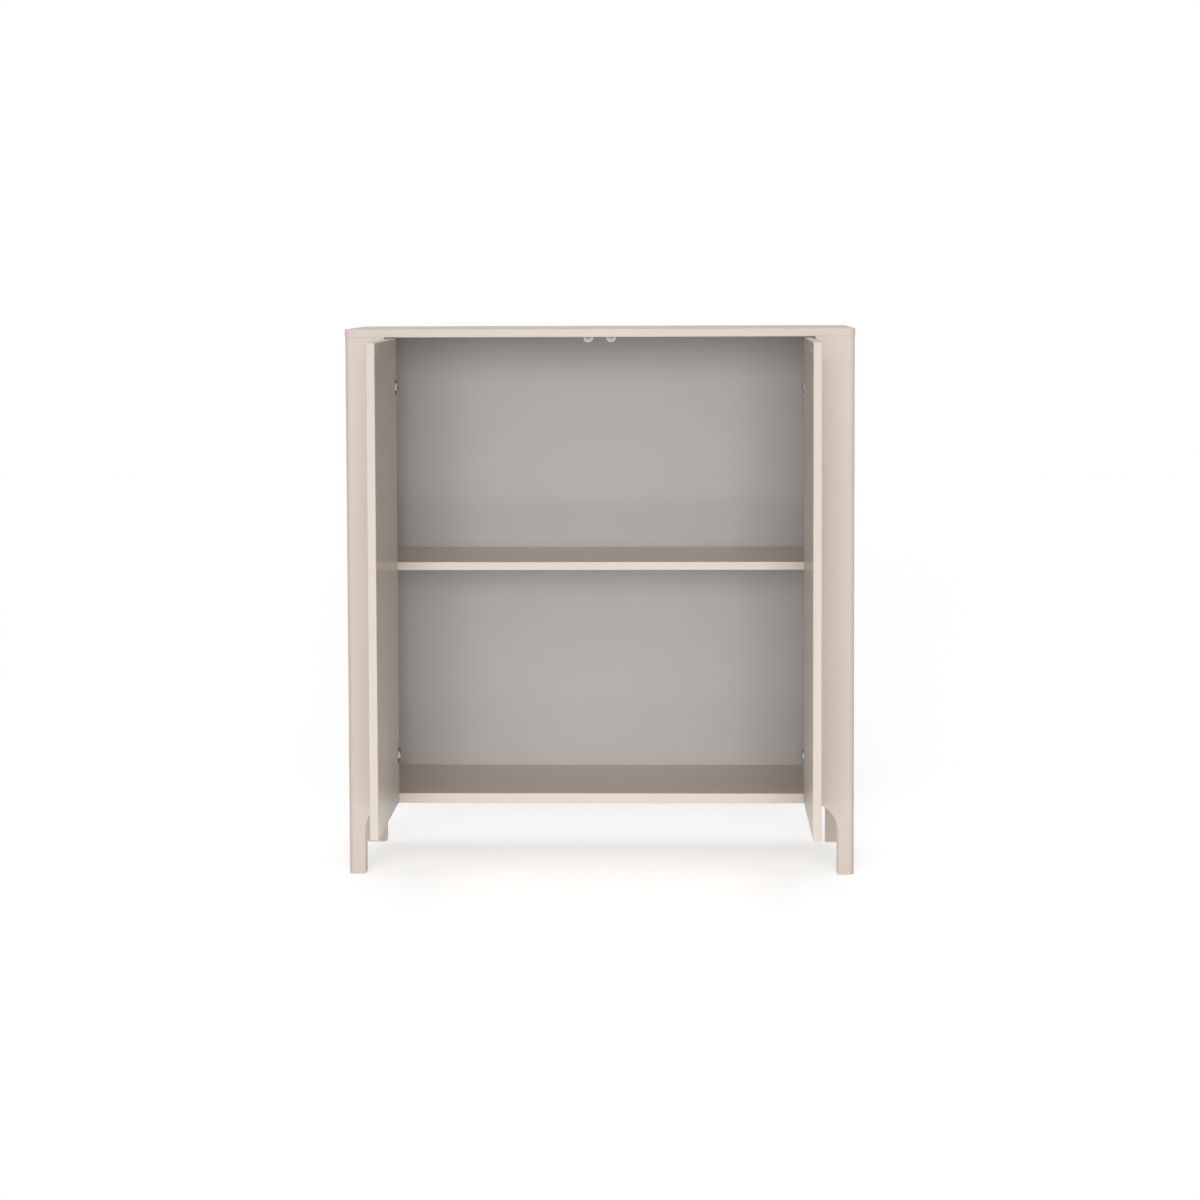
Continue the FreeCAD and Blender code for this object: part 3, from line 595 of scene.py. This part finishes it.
def moulded_housing(low, high):
    """A half-round catch with a thick-rimmed mouth, closed behind, on a base with a screw tab."""
    radius = (high.x - low.x) / 2
    mesh = half_disc(radius, radius - LATCH_WALL)
    soften(mesh, rim_of(thicken(mesh, mesh.faces[:], -Y_AXIS * LATCH_POCKET)), RIM_ROUNDING)
    # The body starts a hair behind the mouth, so that the two shells aren't welded into one
    body = half_disc(radius)
    body_length = LATCH_LENGTH - LATCH_POCKET - SHELL_GAP
    soften(body, rim_of(thicken(body, body.faces[:], Y_AXIS * body_length)), LATCH_END_ROUNDING)
    add_shell(mesh, body, Y_AXIS * SHELL_GAP)
    pocket_floor = ((low.x + high.x) / 2, low.y + LATCH_POCKET, high.z - LATCH_BASE)
    bmesh.ops.translate(mesh, vec=pocket_floor, verts=mesh.verts)
    base = soft_slab([(low.x, low.y, high.z), (high.x, low.y, high.z),
                      (high.x, high.y, high.z), (low.x, high.y, high.z)],
                     rounded=2, radius=TAB_CORNER, depth=-Z_AXIS * LATCH_BASE)
    add_shell(mesh, base)
    return mesh


def moulded_plunger(low, high):
    """A round-nosed head, the shaft behind it, and the collar that the spring pushes."""
    length, collar = high.y - low.y, (high.z - low.z) / 2
    collar_front = length - COLLAR_LENGTH
    mesh = turned([
        (0.0, 0.0, 0.0), (0.0, PLUNGER_HEAD_RADIUS, NOSE_ROUNDING),
        (PLUNGER_HEAD_LENGTH, PLUNGER_HEAD_RADIUS, RIM_ROUNDING), (PLUNGER_HEAD_LENGTH, PLUNGER_RADIUS, 0.0),
        (collar_front, PLUNGER_RADIUS, 0.0), (collar_front, collar, RIM_ROUNDING),
        (length, collar, RIM_ROUNDING), (length, 0.0, 0.0),
    ], Y_AXIS, Z_AXIS)
    return seat_turned(mesh, low, high)


def plated_magnet(low, high):
    """The short round magnet in the plunger's nose."""
    length, radius = high.y - low.y, (high.z - low.z) / 2
    mesh = turned([(0.0, 0.0, 0.0), (0.0, radius, NOSE_ROUNDING), (length, radius, 0.0), (length, 0.0, 0.0)],
                  Y_AXIS, Z_AXIS)
    return seat_turned(mesh, low, high)


def left_hand_box(node):
    """A node's corners, mirrored to the left where it is a right-hand one."""
    low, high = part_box(node)
    if node.startswith("right"):
        return Vector((-high[0], low[1], low[2])), Vector((-low[0], high[1], high[2]))
    return Vector(low), Vector(high)


def show_for(node, word, mesh):
    """Finish a mesh and show it for a node, in that node's finish."""
    bmesh.ops.remove_doubles(mesh, verts=mesh.verts, dist=WELD)
    bmesh.ops.recalc_face_normals(mesh, faces=mesh.faces)
    for face in mesh.faces:
        face.smooth = True
    piece = piece_from(mesh, f"{node}_{word}")
    piece.data.set_sharp_from_angle(angle=SMOOTH_ANGLE)
    piece.data.materials.append(FINISHES[SLOT_OF[node]])
    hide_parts(node)
    return piece


def stand_for(node, word, mesh):
    """Show a left-hand mesh for its node, mirrored for a right-hand one, and on the node's body."""
    if node.startswith("right"):
        bmesh.ops.scale(mesh, vec=(-1.0, 1.0, 1.0), verts=mesh.verts)
    piece = show_for(node, word, mesh)
    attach(piece, BODY_OF[node])


def coil_spring(side):
    """A latch spring between its plunger's collar and the end of the housing, shown as its node's coil."""
    node = f"{side}_latch_spring"
    mesh = bmesh.new()
    mesh.from_mesh(frame["nodes"][node].data)
    piece = show_for(node, "coiled", mesh)
    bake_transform(piece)


def make_hardware():
    """The hinges, latches and strike plates of both sides."""
    for side in ("left", "right"):
        _, door_high = left_hand_box(f"{side}_door")
        for level in ("lower", "upper"):
            pin_low, pin_high = left_hand_box(f"{side}_{level}_hinge_pin")
            pivot = (pin_low + pin_high) / 2
            cup, arm, plate = [f"{side}_{level}_hinge_{word}" for word in ("cup", "arm", "plate")]
            stand_for(cup, "pressed", pressed_cup(*left_hand_box(cup), pivot))
            stand_for(arm, "bent", bent_arm(*left_hand_box(arm), pivot, door_high.y))
            stand_for(plate, "stamped", stamped_plate(*left_hand_box(plate), PLATE_CORNER))
        strike = f"{side}_strike_plate"
        stand_for(strike, "stamped", stamped_plate(*left_hand_box(strike), STRIKE_CORNER))
        housing, plunger, magnet = [f"{side}_latch_{word}" for word in ("housing", "plunger", "magnet")]
        stand_for(housing, "moulded", moulded_housing(*left_hand_box(housing)))
        stand_for(plunger, "moulded", moulded_plunger(*left_hand_box(plunger)))
        stand_for(magnet, "plated", plated_magnet(*left_hand_box(magnet)))
        coil_spring(side)


# Studio

def shown_rays(tree):
    """A value of 1 for what shows, straight or in a reflection, and 0 for light on other surfaces."""
    rays = place(tree, "ShaderNodeLightPath")
    seen = (rays, "Is Camera Ray")
    for label in ("Is Glossy Ray", "Is Transmission Ray"):
        both = place(tree, "ShaderNodeMath", operation="ADD", use_clamp=True)
        wire(tree, seen, (both, 0))
        wire(tree, (rays, label), (both, 1))
        seen = (both, "Value")
    return seen


def by_rays(tree, unseen, seen):
    """One value for the light on other surfaces, and another for what shows."""
    node = fill(place(tree, "ShaderNodeMapRange"), To_Min=unseen, To_Max=seen)
    wire(tree, shown_rays(tree), (node, "Value"))
    return node, "Result"


def lay_floor():
    """A pale round floor that shows white where no shadow falls."""
    mesh = bmesh.new()
    bmesh.ops.create_circle(mesh, cap_ends=True, segments=FLOOR_STEPS, radius=FLOOR_RADIUS)
    floor = piece_from(mesh, "floor")
    material = bpy.data.materials.new("pale_floor")
    tree = cleared(material)
    matte = place(tree, "ShaderNodeBsdfDiffuse")
    glow = place(tree, "ShaderNodeEmission")
    wire(tree, by_rays(tree, FLOOR_BOUNCE, FLOOR_SHOWN_SHADE), (matte, "Color"))
    wire(tree, by_rays(tree, 0.0, FLOOR_SHOWN_GLOW), (glow, "Strength"))
    both = place(tree, "ShaderNodeAddShader")
    wire(tree, (matte, "BSDF"), (both, 0))
    wire(tree, (glow, "Emission"), (both, 1))
    out = place(tree, "ShaderNodeOutputMaterial")
    wire(tree, (both, "Shader"), (out, "Surface"))
    floor.data.materials.append(material)


def light_dome():
    """A plain soft dome, shown white to the camera and in reflections."""
    world = bpy.data.worlds.new("studio")
    tree = cleared(world)
    shade = fill(place(tree, "ShaderNodeBackground"), Color=WHITE)
    wire(tree, by_rays(tree, DOME_STRENGTH, DOME_SHOWN_STRENGTH), (shade, "Strength"))
    out = place(tree, "ShaderNodeOutputWorld")
    wire(tree, (shade, "Background"), (out, "Surface"))
    bpy.context.scene.world = world


def hang_lamp(lamp, spot, aim):
    """Hang a lamp that lights the surfaces but doesn't itself show, also not as a reflection."""
    obj = bpy.data.objects.new(lamp.name, lamp)
    obj.location = spot
    obj.rotation_mode = "QUATERNION"
    obj.rotation_quaternion = (aim - spot).to_track_quat("-Z", "Y")
    obj.visible_camera = False
    obj.visible_glossy = False
    bpy.context.scene.collection.objects.link(obj)


def hang_lamps():
    """The distant soft lights, and the low ones near the floor."""
    middle = (cad_low + cad_high) / 2
    for name, (around, up, across, strength) in DISTANT_LIGHTS.items():
        lamp = bpy.data.lights.new(name, "SUN")
        lamp.angle = math.radians(across)
        lamp.energy = strength
        turn, rise = math.radians(around), math.radians(up)
        away = Vector((math.sin(turn) * math.cos(rise), -math.cos(turn) * math.cos(rise), math.sin(rise)))
        hang_lamp(lamp, middle + away * FLOOR_RADIUS, middle)
    for name, (spot, aim, width, height, watts) in LOW_LIGHTS.items():
        lamp = bpy.data.lights.new(name, "AREA")
        lamp.shape = "RECTANGLE"
        lamp.size, lamp.size_y = width, height
        lamp.energy = watts
        hang_lamp(lamp, spot, aim)


def set_camera():
    """Stand the camera where the photograph was taken."""
    forward = Vector((-math.sin(CAMERA_YAW) * math.cos(CAMERA_PITCH),
                      math.cos(CAMERA_YAW) * math.cos(CAMERA_PITCH), -math.sin(CAMERA_PITCH)))
    level_right = Vector((math.cos(CAMERA_YAW), math.sin(CAMERA_YAW), 0.0))
    level_down = forward.cross(level_right)
    right = level_right * math.cos(CAMERA_ROLL) + level_down * math.sin(CAMERA_ROLL)
    up = forward.cross(right) * -1
    lens = bpy.data.cameras.new("camera")
    lens.sensor_width = SENSOR_WIDTH
    lens.lens = SENSOR_WIDTH * FOCAL_PIXELS / IMAGE_SIDE
    lens.shift_y = (PRINCIPAL_ROW - IMAGE_SIDE / 2) / IMAGE_SIDE
    camera = bpy.data.objects.new("camera", lens)
    turn = Matrix((right, up, -forward)).transposed()
    camera.matrix_world = Matrix.Translation(CAMERA_PLACE) @ turn.to_4x4()
    bpy.context.scene.collection.objects.link(camera)
    bpy.context.scene.camera = camera


dress_nodes()
make_hardware()
lay_floor()
light_dome()
hang_lamps()
set_camera()
bpy.context.scene.view_settings.view_transform = "Standard"
